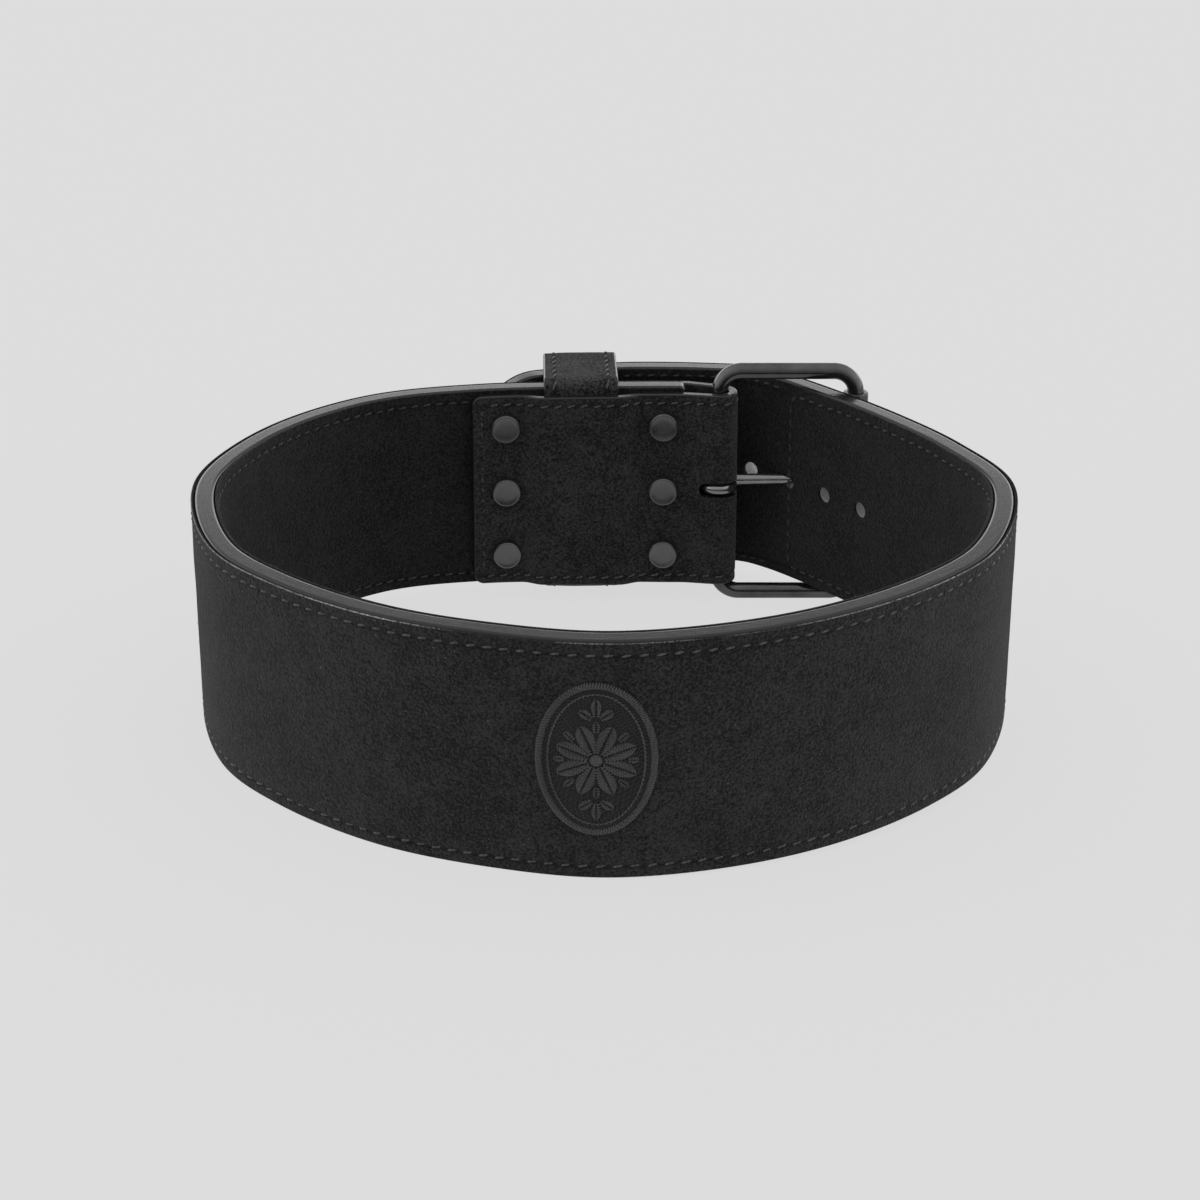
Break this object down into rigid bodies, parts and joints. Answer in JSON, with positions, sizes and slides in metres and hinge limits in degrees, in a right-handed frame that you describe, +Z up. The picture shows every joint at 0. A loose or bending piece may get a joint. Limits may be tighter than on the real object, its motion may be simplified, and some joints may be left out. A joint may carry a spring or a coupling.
{
  "type": "weightlifting belt",
  "caption": "Thick suede-faced leather lifting belt, buckled into a ring, with a roller buckle, a riveted flap, a keeper loop and an embroidered oval badge.",
  "frame": {"origin": "on the floor, under the middle of the overall box of the belt as it rests", "axes": "+Z up; +X across the wearer, along the longest extent; +Y from the front of the belt towards the buckle"},
  "size_m": [0.3658, 0.3376, 0.1242],
  "materials": {
    "suede": "matt black suede",
    "leather_edge": "painted satin edge",
    "flap_suede": "matt black suede",
    "black_metal": "satin black",
    "rivet_metal": "satin dark grey",
    "thread": "satin stitch"
  },
  "bodies": {
    "root": {"strap_core": "leather_edge", "strap_face_outer": "suede", "strap_face_inner": "suede", "buckle_chape": "flap_suede", "buckle_frame": "black_metal", "buckle_roller": "black_metal", "buckle_prong": "black_metal", "keeper_loop": "flap_suede", "rivet_1": "rivet_metal", "rivet_2": "rivet_metal", "rivet_3": "rivet_metal", "rivet_4": "rivet_metal", "rivet_5": "rivet_metal", "rivet_6": "rivet_metal", "emblem": "thread"}
  },
  "joints": []
}
